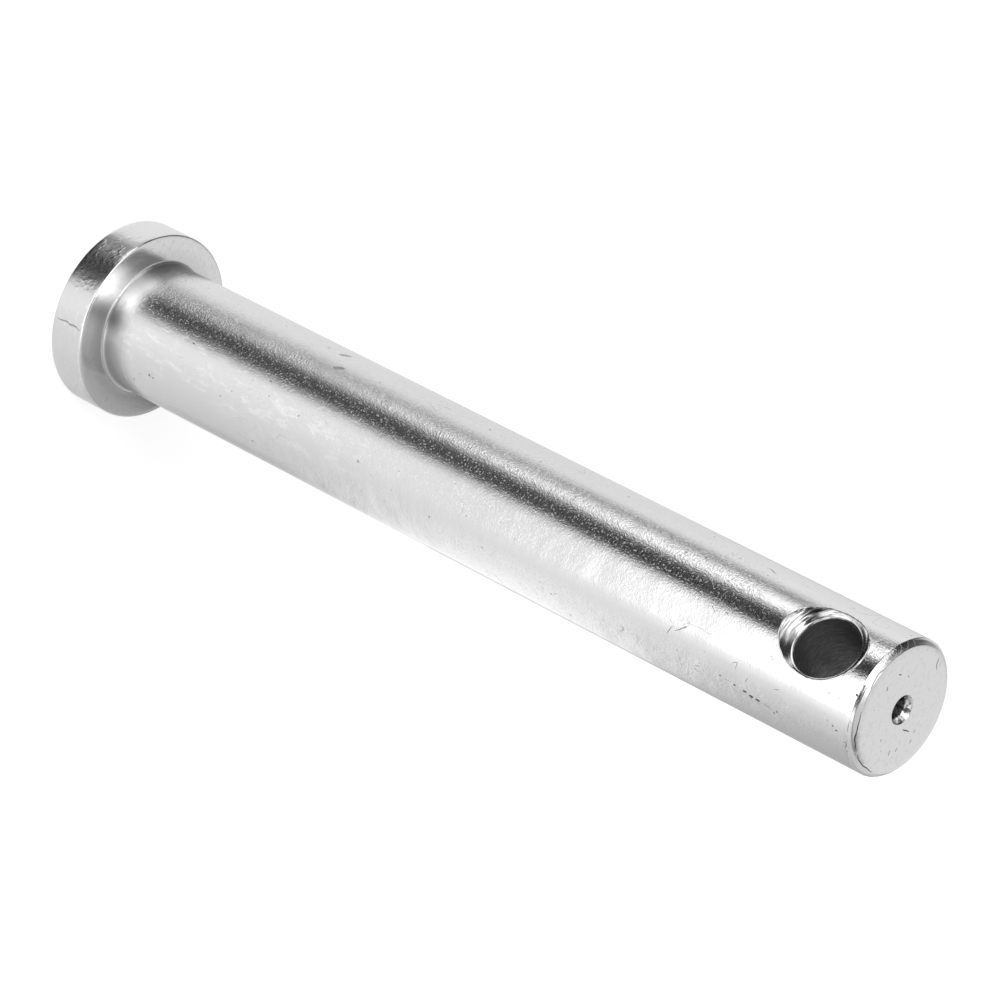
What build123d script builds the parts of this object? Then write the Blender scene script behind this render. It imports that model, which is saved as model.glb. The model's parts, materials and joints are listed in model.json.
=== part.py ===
"""Clevis pin: a plain turned steel pin with a flat round head and a countersunk hole for its retaining pin.

The pin stands on its head. The origin is the centre of the head's outer face, +Z runs along the pin
towards the tail, and the cross-hole runs along Y. All lengths are in millimetres.
"""
from build123d import *
import os
from math import radians, tan

# ---------------------------------------------------------------- driving dimensions
shank_diameter = 25.0
shank_length = 182.0            # from the underside of the head to the tail face

head_diameter = 36.0
head_thickness = 8.0
head_edge_break = 0.3           # both rims of the head, so that they don't cut a hand
neck_fillet = 0.6               # tool-nose radius where the shank meets the head
tail_chamfer = 1.0              # 45 degree lead-in at the tail

cross_hole_diameter = 11.5      # passes a linch pin
cross_hole_to_tail = 12.5       # from the hole's axis to the tail face
countersink_diameter = 17.0     # measured level with the crown of the shank
countersink_angle = 90.0        # whole angle of the cone

# Centre drilling in the tail, for the lathe's tailstock.
centre_mouth_diameter = 5.3
centre_pilot_diameter = 2.5
centre_cone_angle = 60.0        # whole angle of the cone
centre_depth = 5.5              # from the tail face to the end of the pilot's wall
drill_point_angle = 118.0       # whole angle of the drill's tip

tool_overrun = 2.0              # how far a cutting tool's solid stands out of the work

# ---------------------------------------------------------------- what follows from them
shank_radius = shank_diameter / 2
head_radius = head_diameter / 2
cross_hole_radius = cross_hole_diameter / 2
countersink_radius = countersink_diameter / 2
centre_mouth_radius = centre_mouth_diameter / 2
centre_pilot_radius = centre_pilot_diameter / 2

tail_z = head_thickness + shank_length
cross_hole_z = tail_z - cross_hole_to_tail


def cone_run(radius_change, whole_angle):
    """Length along a cone's axis over which its radius changes by the given amount."""
    return radius_change / tan(radians(whole_angle / 2))


def turned_blank():
    """Head and shank in one piece, as they leave the lathe: half of the outline, spun about Z."""
    with BuildPart() as blank:
        with BuildSketch(Plane.XZ) as half_outline:
            with BuildLine():
                Polyline(
                    (0, 0),
                    (head_radius - head_edge_break, 0),
                    (head_radius, head_edge_break),
                    (head_radius, head_thickness - head_edge_break),
                    (head_radius - head_edge_break, head_thickness),
                    (shank_radius, head_thickness),
                    (shank_radius, tail_z - tail_chamfer),
                    (shank_radius - tail_chamfer, tail_z),
                    (0, tail_z),
                    close=True,
                )
            make_face()
            neck = half_outline.vertices().sort_by_distance((shank_radius, 0, head_thickness))[0]
            fillet(neck, neck_fillet)
        revolve(axis=Axis.Z)
    return blank.part


def centre_drill():
    """The stepped tool of a centre drilling, standing in the tail: a 60 degree cone with a pilot below it."""
    cone_depth = cone_run(centre_mouth_radius - centre_pilot_radius, centre_cone_angle)
    tip_depth = centre_depth + cone_run(centre_pilot_radius, drill_point_angle)
    with BuildPart() as tool:
        with BuildSketch(Plane.XZ):
            with BuildLine():
                Polyline(
                    (0, tail_z + tool_overrun),
                    (centre_mouth_radius, tail_z + tool_overrun),
                    (centre_mouth_radius, tail_z),
                    (centre_pilot_radius, tail_z - cone_depth),
                    (centre_pilot_radius, tail_z - centre_depth),
                    (0, tail_z - tip_depth),
                    close=True,
                )
            make_face()
        revolve(axis=Axis.Z)
    return tool.part


def cross_hole_drill():
    """The drill that goes through the shank along Y, from one side to the other."""
    through = shank_diameter + 2 * tool_overrun
    drill_axis = Plane(origin=(0, 0, cross_hole_z), z_dir=(0, 1, 0))
    return drill_axis * Cylinder(cross_hole_radius, through)


def countersink_tool(side):
    """The cone that opens one mouth of the cross-hole; side is -1 for the -Y mouth and 1 for the +Y one."""
    depth = cone_run(countersink_radius - cross_hole_radius, countersink_angle)
    mouth_growth = tool_overrun * tan(radians(countersink_angle / 2))
    cone_start = Plane(origin=(0, side * (shank_radius - depth), cross_hole_z), z_dir=(0, side, 0))
    cone = Cone(
        bottom_radius=cross_hole_radius,
        top_radius=countersink_radius + mouth_growth,
        height=depth + tool_overrun,
        align=(Align.CENTER, Align.CENTER, Align.MIN),
    )
    return cone_start * cone


clevis_pin = turned_blank() - centre_drill() - cross_hole_drill()
for mouth in (-1, 1):
    clevis_pin -= countersink_tool(mouth)

os.makedirs("parts", exist_ok=True)
export_step(clevis_pin, "parts/clevis_pin.step")
print(f"clevis_pin: {clevis_pin.volume / 1000:.2f} cm3, tail face at z = {tail_z:.1f} mm")
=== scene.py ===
# %% [markdown]
# # A clevis pin in bright zinc-plated steel
#
# The real pin is one piece of round bar. A lathe turns it down to a shank and leaves a flat head, a
# centre drill marks the tail for the tailstock, and a drill and a countersink open a cross-hole for the
# linch pin that keeps it in its clevis. This script models it the same way, in metres, standing on its
# head with +Z along the shank. The engineering model is loaded first, because every size comes from it.

# %% Load the frame
import json
from math import atan2, cos, pi, radians, sin, sqrt, tan

import bpy
from mathutils import Matrix, Vector


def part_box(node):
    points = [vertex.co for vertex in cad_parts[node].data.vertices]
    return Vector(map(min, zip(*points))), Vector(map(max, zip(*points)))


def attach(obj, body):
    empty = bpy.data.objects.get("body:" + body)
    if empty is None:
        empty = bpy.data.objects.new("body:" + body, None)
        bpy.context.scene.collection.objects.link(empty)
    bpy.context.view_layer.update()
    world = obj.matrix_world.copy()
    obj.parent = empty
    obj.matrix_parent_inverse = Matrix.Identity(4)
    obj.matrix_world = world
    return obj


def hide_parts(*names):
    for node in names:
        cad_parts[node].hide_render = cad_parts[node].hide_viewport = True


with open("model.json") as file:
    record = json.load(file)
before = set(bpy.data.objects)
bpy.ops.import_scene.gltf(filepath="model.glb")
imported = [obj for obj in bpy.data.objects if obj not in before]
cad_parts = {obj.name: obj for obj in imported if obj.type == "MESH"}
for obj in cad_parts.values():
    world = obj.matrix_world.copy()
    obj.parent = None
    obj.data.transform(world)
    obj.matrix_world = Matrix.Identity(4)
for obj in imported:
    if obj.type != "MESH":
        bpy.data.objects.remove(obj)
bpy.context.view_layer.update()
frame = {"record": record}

MM = 0.001
mounts = {mount["name"]: mount for mount in frame["record"]["mounts"]}
high_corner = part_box("clevis_pin")[1]

HEAD_RADIUS = high_corner.x
PIN_HEIGHT = high_corner.z
SHANK_RADIUS = mounts["shank"]["dims"]["r_mm"] * MM
HEAD_THICKNESS = mounts["head_underside"]["pos_m"][2]
HOLE_RADIUS = mounts["cross_hole"]["dims"]["r_mm"] * MM
HOLE_HEIGHT = mounts["cross_hole"]["pos_m"][2]
print(f"head {HEAD_RADIUS / MM:.2f} mm radius, shank {SHANK_RADIUS / MM:.2f}, height {PIN_HEIGHT / MM:.1f}")

# %% [markdown]
# ## The camera
#
# A long lens from almost a metre away keeps the pin's sides nearly parallel, as in a catalogue picture.
# The camera looks down on the standing pin from a little to one side of the cross-hole, and it is
# rolled, so that the pin runs across the picture with its tail low on the right. A camera is usually
# aimed with a Track To constraint. Here its three directions are worked out and set directly, because
# the roll is part of the view.

# %% Camera
CAMERA_AZIMUTH = radians(20.535)     # from the -Y side, where the cross-hole opens, towards +X
CAMERA_ELEVATION = radians(36.441)
CAMERA_ROLL = radians(117.058)       # from the picture's upright to the pin's own axis, clockwise
CAMERA_DISTANCE = 898.76 * MM
CAMERA_AIM = Vector((-0.618 * MM, -0.232 * MM, 97.348 * MM))
CAMERA_LENS = 184.9                  # in millimetres, on the usual 36 mm sensor


def place_camera():
    """Puts the camera on a sphere round the aim point, looks at that point, then rolls the picture."""
    data = bpy.data.cameras.new("camera")
    data.lens = CAMERA_LENS
    data.sensor_width = 36.0
    data.clip_start = 0.05
    data.clip_end = 20.0
    camera = bpy.data.objects.new("camera", data)
    bpy.context.scene.collection.objects.link(camera)
    back = Vector((
        sin(CAMERA_AZIMUTH) * cos(CAMERA_ELEVATION),
        -cos(CAMERA_AZIMUTH) * cos(CAMERA_ELEVATION),
        sin(CAMERA_ELEVATION),
    ))
    level = back.to_track_quat("Z", "Y").to_matrix().to_4x4()
    roll = Matrix.Rotation(CAMERA_ROLL, 4, "Z")
    camera.matrix_world = Matrix.Translation(CAMERA_AIM + back * CAMERA_DISTANCE) @ level @ roll
    bpy.context.scene.camera = camera
    return camera


camera = place_camera()
print("camera at", [round(value / MM, 1) for value in camera.matrix_world.translation])

# %% [markdown]
# ## How the blank is turned
#
# A lathe makes this pin by moving a tool along an outline while the bar spins. The mesh can be made in
# the same order: a circle is the cut end of the bar, and each move of the tool extrudes the open ring
# to a new radius and height. Spinning a half outline with the Spin operator gives the same shape.
# Extruding ring by ring is chosen because every ring can then be placed where the next steps need it:
# close together at the dressed tail and around the cross-hole, wide apart along the plain shank.
#
# Operators work on all that is selected, and loading the frame leaves its parts selected, so everything
# is deselected before each new piece.

# %% A turning helper
RING_POINTS = 384


def deselect_all():
    bpy.ops.object.select_all(action="DESELECT")


def select_only(piece):
    """Leaves one piece selected and active, so that the next operator works on it alone."""
    deselect_all()
    piece.select_set(True)
    bpy.context.view_layer.objects.active = piece


def start_bar(name, radius, height):
    """Adds a small filled disc and leaves its outer ring selected, ready to be extruded."""
    deselect_all()
    bpy.ops.mesh.primitive_circle_add(
        vertices=RING_POINTS, radius=radius, fill_type="TRIFAN", location=(0, 0, height)
    )
    bar = bpy.context.active_object
    bar.name = name
    bar.data.name = name
    bpy.ops.object.transform_apply(location=True, rotation=True, scale=True)
    bpy.ops.object.mode_set(mode="EDIT")
    bpy.ops.mesh.select_mode(type="EDGE")
    bpy.ops.mesh.select_all(action="SELECT")
    bpy.ops.mesh.region_to_loop()
    return bar


def turn_along(outline):
    """Extrudes the selected ring through each (radius, height) of the outline, starting from the first."""
    radius, height = outline[0]
    for next_radius, next_height in outline[1:]:
        bpy.ops.mesh.extrude_region_move(TRANSFORM_OT_translate={"value": (0, 0, next_height - height)})
        scale = next_radius / radius
        bpy.ops.transform.resize(value=(scale, scale, 1), center_override=(0, 0, next_height))
        radius, height = next_radius, next_height


def close_tip():
    """Merges the last ring to one point and turns every face outwards."""
    bpy.ops.mesh.merge(type="CENTER")
    bpy.ops.mesh.select_all(action="SELECT")
    bpy.ops.mesh.remove_doubles(threshold=0.001 * MM)
    bpy.ops.mesh.normals_make_consistent(inside=False)
    bpy.ops.object.mode_set(mode="OBJECT")


def straight(start, end, steps):
    """Points from start to end, without the start itself."""
    return [
        (start[0] + (end[0] - start[0]) * step / steps, start[1] + (end[1] - start[1]) * step / steps)
        for step in range(1, steps + 1)
    ]


def arc(centre, radius, start_angle, end_angle, steps):
    """Points round a centre, without the first one. Angles are in degrees, from outwards to the tail."""
    points = []
    for step in range(1, steps + 1):
        angle = radians(start_angle + (end_angle - start_angle) * step / steps)
        points.append((centre[0] + radius * cos(angle), centre[1] + radius * sin(angle)))
    return points


# %% [markdown]
# ## Head, neck, shank and tail
#
# The outline starts at the middle of the head's flat face, on which the pin stands. Both rims of the
# head are broken by a 0.3 mm edge, and here that edge is slightly rounded, because plating rounds an
# edge and a rounded one catches a fine line of light. The neck keeps the radius of the tool's nose. The
# tail has a 1 mm lead-in, and its middle has the stepped hole that a centre drill leaves: a 60 degree
# cone with a short pilot hole below it.

# %% The pin's outline
EDGE_BREAK = 0.3 * MM
HEAD_TAPER = 0.1 * MM                # the faced underside falls away a little towards the rim
NECK_RADIUS = 0.6 * MM
TAIL_CHAMFER = 1.0 * MM
CENTRE_MOUTH_RADIUS = 2.65 * MM
CENTRE_PILOT_RADIUS = 1.25 * MM
CENTRE_PILOT_END = 5.5 * MM
SOFT_EDGE = 0.12 * MM                # how far the corners of the tail are rounded
CHAMFER_SWELL = 0.045 * MM           # a belt leaves the lead-in slightly convex
DISC_RADIUS = 2.0 * MM

centre_cone_end = (CENTRE_MOUTH_RADIUS - CENTRE_PILOT_RADIUS) / tan(radians(30))
chamfer_start = PIN_HEIGHT - TAIL_CHAMFER
tail_face_radius = SHANK_RADIUS - TAIL_CHAMFER
close_rings_from = HOLE_HEIGHT - 11 * MM

outline = [(DISC_RADIUS, 0)]
outline += straight(outline[-1], (HEAD_RADIUS - EDGE_BREAK, 0), 8)
outline += arc((HEAD_RADIUS - EDGE_BREAK, EDGE_BREAK), EDGE_BREAK, -90, 0, 6)
outline += straight(outline[-1], (HEAD_RADIUS, HEAD_THICKNESS - EDGE_BREAK - HEAD_TAPER), 10)
outline += arc((HEAD_RADIUS - EDGE_BREAK, HEAD_THICKNESS - EDGE_BREAK - HEAD_TAPER), EDGE_BREAK, 0, 90, 6)
outline += straight(outline[-1], (SHANK_RADIUS + NECK_RADIUS, HEAD_THICKNESS), 6)
outline += arc((SHANK_RADIUS + NECK_RADIUS, HEAD_THICKNESS + NECK_RADIUS), NECK_RADIUS, 270, 180, 10)
outline += straight(outline[-1], (SHANK_RADIUS, close_rings_from), 40)
outline += straight(outline[-1], (SHANK_RADIUS, chamfer_start - SOFT_EDGE), 28)
outline += [(SHANK_RADIUS - 0.02 * MM, chamfer_start), (SHANK_RADIUS - SOFT_EDGE, chamfer_start + SOFT_EDGE)]
chamfer = straight(outline[-1], (tail_face_radius + SOFT_EDGE, PIN_HEIGHT - SOFT_EDGE), 6)
swell = [CHAMFER_SWELL * sin(pi * number / 6) for number in range(1, 7)]
outline += [(radius + rise, height + rise) for (radius, height), rise in zip(chamfer, swell)]
outline += [(tail_face_radius, PIN_HEIGHT - 0.02 * MM), (tail_face_radius - SOFT_EDGE, PIN_HEIGHT)]
outline += straight(outline[-1], (CENTRE_MOUTH_RADIUS + 0.05 * MM, PIN_HEIGHT), 10)
outline += [(CENTRE_MOUTH_RADIUS, PIN_HEIGHT - 0.05 * MM)]
outline += straight(outline[-1], (CENTRE_PILOT_RADIUS, PIN_HEIGHT - centre_cone_end), 8)
outline += straight(outline[-1], (CENTRE_PILOT_RADIUS, PIN_HEIGHT - CENTRE_PILOT_END), 3)
outline += [(0.1 * MM, PIN_HEIGHT - CENTRE_PILOT_END - (CENTRE_PILOT_RADIUS - 0.1 * MM) / tan(radians(59)))]

pin = start_bar("zinc_plated_pin", DISC_RADIUS, 0)
turn_along(outline)
close_tip()
print(f"turned blank: {len(outline)} rings, {len(pin.data.vertices)} vertices")

# %% [markdown]
# ## The hand-dressed tail
#
# The lead-in at the tail was broken by hand, on a belt, so its edges wander by a few tenths of a
# millimetre. Moving single vertices would give the same, but a Displace modifier with a cloud texture
# does it for the whole rim at once. A vertex group holds the push to the rings at the edge, and the
# modifier pushes only downwards, because dressing takes metal away.

# %% Let the tail's edges wander
DRESSED_SIDE = radians(-12)          # round the pin from +X, where the belt took most
LEAST_DRESSED = 0.3                  # the share of that which the far side lost


def ring_weight(vertex):
    """How far a vertex of the tail follows the wandering edge: most on the side that was dressed last."""
    radius = vertex.co.xy.length
    height = vertex.co.z
    side = cos(atan2(vertex.co.y, vertex.co.x) - DRESSED_SIDE)
    dressed = LEAST_DRESSED + (1 - LEAST_DRESSED) * max(0.0, side)
    if radius > SHANK_RADIUS - 0.2 * MM and height > chamfer_start - 1.2 * MM:
        return dressed * (1.0 - 0.6 * max(0.0, (chamfer_start - 0.2 * MM - height) / MM))
    if radius > tail_face_radius - 0.3 * MM and height > chamfer_start - 0.2 * MM:
        return 0.15 * dressed
    return 0.0


edge_group = pin.vertex_groups.new(name="tail_edge")
for vertex in pin.data.vertices:
    weight = ring_weight(vertex)
    if weight > 0:
        edge_group.add([vertex.index], min(weight, 1.0), "REPLACE")

cloud = bpy.data.textures.new("belt_marks", "CLOUDS")
cloud.noise_scale = 2.2 * MM
cloud.noise_depth = 3
cloud.contrast = 1.5
dressing = pin.modifiers.new("belt_marks", "DISPLACE")
dressing.texture = cloud
dressing.texture_coords = "LOCAL"
dressing.direction = "Z"
dressing.mid_level = 1.1
dressing.strength = 0.4 * MM
dressing.vertex_group = edge_group.name
bpy.ops.object.modifier_apply(modifier=dressing.name)
highest = max(vertex.co.z for vertex in pin.data.vertices)
print(f"the tail still ends at {highest / MM:.2f} mm")

# %% [markdown]
# ## The cross-hole and its two countersinks
#
# A drill goes through the tail from side to side, then a 90 degree countersink opens both mouths. Where
# that cone meets the round shank, its rim becomes a saddle: wide towards the crown, narrow at the
# sides. That curve is hard to model by hand and comes for free from a Boolean, so the tools are turned
# as one solid, laid along Y and cut away. A hand-held countersink chatters, so its cone carries a few
# shallow rings of unequal width, made in the tool's own outline. The tool carries its own materials,
# and the Boolean hands them to the faces that it cuts.

# %% The drill and countersink as one tool
COUNTERSINK_RADIUS = 8.5 * MM        # level with the crown of the shank
TOOL_OVERRUN = 2.0 * MM
BORE_EDGE = 0.15 * MM                # how far the countersink's inner edge is rolled into the bore
CHATTER_RINGS = [
    (0.03, -0.01), (0.12, -0.07), (0.15, 0.05), (0.30, 0.01), (0.43, -0.02), (0.465, 0.015), (0.64, 0.0),
    (0.76, -0.02), (0.79, 0.015), (0.95, 0.0),
]

countersink_depth = COUNTERSINK_RADIUS - HOLE_RADIUS
cone_bottom = SHANK_RADIUS - countersink_depth
cone_top = SHANK_RADIUS + TOOL_OVERRUN


def chattered_cone():
    """The countersink's outline from the bore outwards, with a small growth at each share of its depth."""
    points = []
    for share, growth in CHATTER_RINGS:
        rise = countersink_depth * share
        points.append((HOLE_RADIUS + rise + growth * MM, cone_bottom + rise))
    points.append((COUNTERSINK_RADIUS, SHANK_RADIUS))
    points.append((COUNTERSINK_RADIUS + TOOL_OVERRUN, cone_top))
    return points


mouth = chattered_cone()
drill_outline = [(DISC_RADIUS, -cone_top)]
drill_outline += [(radius, -height) for radius, height in reversed(mouth)]
drill_outline += [(HOLE_RADIUS, -cone_bottom + BORE_EDGE)]
drill_outline += straight(drill_outline[-1], (HOLE_RADIUS, cone_bottom - BORE_EDGE), 8)
drill_outline += mouth
drill_outline += [(0.1 * MM, cone_top)]

drill = start_bar("cross_hole_drill", DISC_RADIUS, -cone_top)
turn_along(drill_outline)
close_tip()
print(f"cross-hole tool: {len(drill_outline)} rings, {len(drill.data.polygons)} faces")

# %% [markdown]
# Materials are added before the cut, one for each finish that the tools leave. They stay empty until
# the cells on finishes further down fill in their nodes.

# %% The finishes, still empty
shank_finish = bpy.data.materials.new("bright_zinc_shank")
rim_finish = bpy.data.materials.new("bright_zinc_head_rim")
faced_finish = bpy.data.materials.new("faced_zinc")
countersink_finish = bpy.data.materials.new("countersunk_zinc")
bore_finish = bpy.data.materials.new("drilled_bore")
centre_finish = bpy.data.materials.new("centre_drilled_zinc")

for finish in (shank_finish, rim_finish, faced_finish, centre_finish):
    pin.data.materials.append(finish)
for finish in (bore_finish, countersink_finish):
    drill.data.materials.append(finish)


def give_finish(piece, slot_number, belongs):
    """Gives a material slot to every face whose middle passes the test belongs(x, y, z)."""
    for face in piece.data.polygons:
        if belongs(*face.center):
            face.material_index = slot_number


def on_head_rim(x, y, z):
    return z < HEAD_THICKNESS - 0.02 * MM and sqrt(x * x + y * y) > HEAD_RADIUS - 0.25 * MM


def is_faced(x, y, z):
    flat_bottom = z < 0.05 * MM
    under_head = z < HEAD_THICKNESS + 0.02 * MM and not on_head_rim(x, y, z)
    tail_face = z > PIN_HEIGHT - 0.03 * MM
    return flat_bottom or under_head or tail_face


def in_centre_hole(x, y, z):
    below_tail_face = PIN_HEIGHT - 8 * MM < z < PIN_HEIGHT - 0.01 * MM
    return below_tail_face and sqrt(x * x + y * y) < CENTRE_MOUTH_RADIUS + 0.04 * MM


def on_countersink(x, y, z):
    return abs(z) > cone_bottom - 0.01 * MM


give_finish(pin, 1, on_head_rim)
give_finish(pin, 2, is_faced)
give_finish(pin, 3, in_centre_hole)
give_finish(drill, 1, on_countersink)
for number, finish in enumerate(pin.data.materials):
    print(finish.name, sum(face.material_index == number for face in pin.data.polygons), "faces")

# %% [markdown]
# The tool is laid along Y at the height of the hole and cut out with the exact solver. Tools that are
# joined into one must not overlap, because overlaps confuse the solver, so the helper stops when a cut
# leaves nothing.

# %% Cut the cross-hole
def boolean(piece, tool, operation):
    """Joins the tool to the piece or cuts it out, then removes the tool."""
    select_only(piece)
    change = piece.modifiers.new(tool.name, "BOOLEAN")
    change.operation = operation
    change.solver = "EXACT"
    change.material_mode = "TRANSFER"
    change.object = tool
    bpy.ops.object.modifier_apply(modifier=change.name)
    bpy.data.objects.remove(tool)
    if not piece.data.polygons:
        raise RuntimeError("the cut left nothing: tools that are cut together must not overlap")


select_only(drill)
drill.rotation_euler = (radians(90), 0, 0)
drill.location = (0, 0, HOLE_HEIGHT)
bpy.ops.object.transform_apply(location=True, rotation=True, scale=True)
boolean(pin, drill, "DIFFERENCE")
print("after the cut:", len(pin.data.polygons), "faces,", [finish.name for finish in pin.data.materials])

# %% [markdown]
# ## The burr round each mouth
#
# A countersink raises a fine lip where it leaves the round shank, and it shows as a thin line of light
# and shade all round the mouth. The lip follows the saddle line on which cone and cylinder meet. A
# curve through points of that line, with a thin round section that swells and shrinks from place to
# place, is made a mesh and joined to the pin with a Boolean, so that the pin stays one closed skin.

# %% Raise the burr
LIP_POINTS = 240
LIP_RADIUS = 0.14                    # in millimetres, like all radii of wires


def wire(points, radii, finish, closed=False):
    """A thin round wire through the points, with its own radius in millimetres at each of them."""
    line = bpy.data.curves.new("wire", "CURVE")
    line.dimensions = "3D"
    line.bevel_depth = MM
    line.bevel_resolution = 2
    line.use_fill_caps = True
    spline = line.splines.new("POLY")
    spline.points.add(len(points) - 1)
    for knot, point, radius in zip(spline.points, points, radii):
        knot.co = (*point, 1)
        knot.radius = radius
    spline.use_cyclic_u = closed
    piece = bpy.data.objects.new("wire", line)
    bpy.context.scene.collection.objects.link(piece)
    select_only(piece)
    bpy.ops.object.convert(target="MESH")
    piece.data.materials.append(finish)
    return piece


def saddle_point(turn, side):
    """Where the countersink's cone meets the shank, at an angle round the hole counted from the tail."""
    tip_offset = cone_bottom - HOLE_RADIUS
    s = sin(turn)
    square = 1 + s * s
    reach = (sqrt(tip_offset ** 2 + square * (SHANK_RADIUS ** 2 - tip_offset ** 2)) - tip_offset) / square
    across = reach * s
    return Vector((across, side * sqrt(SHANK_RADIUS ** 2 - across ** 2), HOLE_HEIGHT + reach * cos(turn)))


def lip(side):
    """The burr of one mouth. Three waves of different length make it thick here and thin there."""
    points = []
    radii = []
    for number in range(LIP_POINTS):
        turn = 2 * pi * number / LIP_POINTS
        swell = 0.8 + 0.25 * sin(3 * turn + 1) + 0.15 * sin(11 * turn) + 0.12 * sin(29 * turn + side)
        points.append(saddle_point(turn, side))
        radii.append(LIP_RADIUS * swell)
    return wire(points, radii, countersink_finish, closed=True)


for side in (-1, 1):
    boolean(pin, lip(side), "UNION")
print("with its burrs:", len(pin.data.polygons), "faces")

# %% [markdown]
# ## Dents from use
#
# The pin has been thrown in with others. A row of small dents runs along the shank near the tail, two
# shallow ovals sit nearer the head, and a nick breaks the countersink's rim. Each is the print of a
# small rounded tool: a sphere, stretched to the dent's length, width and depth, turned to lie on the
# skin, and cut away. The dents are marked sharp at their edges, so that their shading doesn't spread
# over the shank.

# %% Dents
dent_finish = bpy.data.materials.new("bruised_zinc")
worn_finish = bpy.data.materials.new("rubbed_zinc")


def dent(height, angle, length, width, depth, tilt=0.0, finish=dent_finish):
    """A rounded tool at an angle in degrees from the cross-hole's mouth towards +X. Sizes are in mm."""
    deselect_all()
    bpy.ops.mesh.primitive_uv_sphere_add(segments=20, ring_count=12, radius=1)
    tool = bpy.context.active_object
    tool.scale = (width / 2 * MM, depth * MM, length / 2 * MM)
    bpy.ops.object.transform_apply(location=False, rotation=False, scale=True)
    tool.rotation_euler = (0, radians(tilt), 0)
    bpy.ops.object.transform_apply(location=False, rotation=True, scale=False)
    turn = radians(angle)
    tool.rotation_euler = (0, 0, turn)
    reach = SHANK_RADIUS + 0.25 * depth * MM
    tool.location = (reach * sin(turn), -reach * cos(turn), height * MM)
    bpy.ops.object.transform_apply(location=True, rotation=True, scale=True)
    tool.data.materials.append(finish)
    return tool


def join(pieces):
    """Joins the pieces to one object, so that one cut takes them all."""
    deselect_all()
    for piece in pieces:
        piece.select_set(True)
    bpy.context.view_layer.objects.active = pieces[0]
    bpy.ops.object.join()
    return pieces[0]


dents = [
    dent(161.0, 64.5, 0.5, 0.25, 0.06, tilt=-15),
    dent(164.2, 66.4, 0.6, 0.35, 0.10, tilt=-20),
    dent(166.45, 67.6, 0.95, 0.45, 0.16, tilt=-10),
    dent(167.85, 69.3, 1.0, 0.55, 0.20),
    dent(169.3, 69.6, 1.0, 0.5, 0.18),
    dent(172.8, 74.2, 0.4, 0.3, 0.06),
    dent(173.5, 71.4, 0.4, 0.3, 0.06),
    dent(20.7, 61.3, 0.6, 0.4, 0.06, tilt=30),
    dent(21.6, 62.2, 0.4, 0.3, 0.06),
    dent(185.7, 57.2, 0.5, 0.25, 0.06, tilt=25),
    dent(186.5, 59.8, 0.6, 0.25, 0.06, tilt=-20),
    dent(188.7, 26.0, 0.7, 0.4, 0.08, tilt=20),
    dent(179.4, -30.6, 0.7, 0.4, 0.20, tilt=35),
    dent(180.3, -29.6, 0.6, 0.3, 0.14, tilt=60),
    dent(56.4, -42.0, 3.1, 1.0, 0.06, tilt=-42, finish=worn_finish),
    dent(59.1, -22.5, 2.5, 1.1, 0.05, tilt=-30, finish=worn_finish),
]
boolean(pin, join(dents), "DIFFERENCE")
print("with its dents:", len(pin.data.polygons), "faces")

# %% [markdown]
# ## Scratches
#
# A scratch is the path of a hard corner over the skin. One crosses the head's rim, a few short ones lie
# on the shank and the tail face, and the edge of the tail face carries a fine rolled seam where it was
# dressed. Each is cut with a thin wire laid on the skin through a few points. Between those points the
# wire follows the round of the shank, and it gets thinner towards its ends. A scratch is given by
# height and angle on a round wall, or by reach from the middle and angle on the tail face.

# %% Scratch helpers
STEP = 0.25                          # millimetres between the knots of a wire
WIRE_LIFT = 0.45                     # how far a wire's middle lies above the skin, as a share of its radius
SEAM_REACH = 11.5                    # the edge of the tail face, in millimetres from the middle
FACE_REACH = 10                      # turns an angle on the tail face into a length in millimetres, roughly


def along(marks, reach):
    """Splits a chain of (position, angle in degrees) into steps. Reach turns angles into lengths in mm."""
    chain = [marks[0]]
    for (start, start_angle), (end, end_angle) in zip(marks, marks[1:]):
        across = radians(end_angle - start_angle) * reach
        count = max(1, round(sqrt((end - start) ** 2 + across ** 2) / STEP))
        chain += straight((start, start_angle), (end, end_angle), count)
    return chain


def thinning(count, radius):
    """Radii that swell from a thin start to the middle of the wire and shrink again."""
    return [radius * (0.35 + 0.65 * sin(pi * (number + 0.5) / count)) for number in range(count)]


def wall_scratch(marks, radius, wall=SHANK_RADIUS, finish=dent_finish):
    """On a round wall, from marks of (height in mm, angle in degrees)."""
    reach = wall + WIRE_LIFT * radius * MM
    points = []
    for height, angle in along(marks, wall / MM):
        points.append((reach * sin(radians(angle)), -reach * cos(radians(angle)), height * MM))
    return wire(points, thinning(len(points), radius), finish)


def tail_scratch(marks, radius, finish=dent_finish, lift=WIRE_LIFT):
    """On the tail face, and past its edge down the chamfer, from marks of (reach in mm, angle)."""
    points = []
    for reach, angle in along(marks, FACE_REACH):
        drop = max(0.0, reach * MM - tail_face_radius)
        level = PIN_HEIGHT + lift * radius * MM - drop
        points.append((reach * MM * sin(radians(angle)), -reach * MM * cos(radians(angle)), level))
    return wire(points, thinning(len(points), radius), finish)


def seam(start_angle, end_angle, radius, finish=dent_finish):
    """A fine seam that wanders in and out along the edge of the tail face."""
    marks = []
    for angle in range(start_angle, end_angle + 1, 3):
        turn = radians(angle)
        reach = SEAM_REACH + 0.14 * sin(5.3 * turn + 1.2) + 0.08 * sin(13 * turn) + 0.04 * sin(31 * turn)
        marks.append((reach, angle))
    return tail_scratch(marks, radius, finish, lift=0.0)
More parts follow.
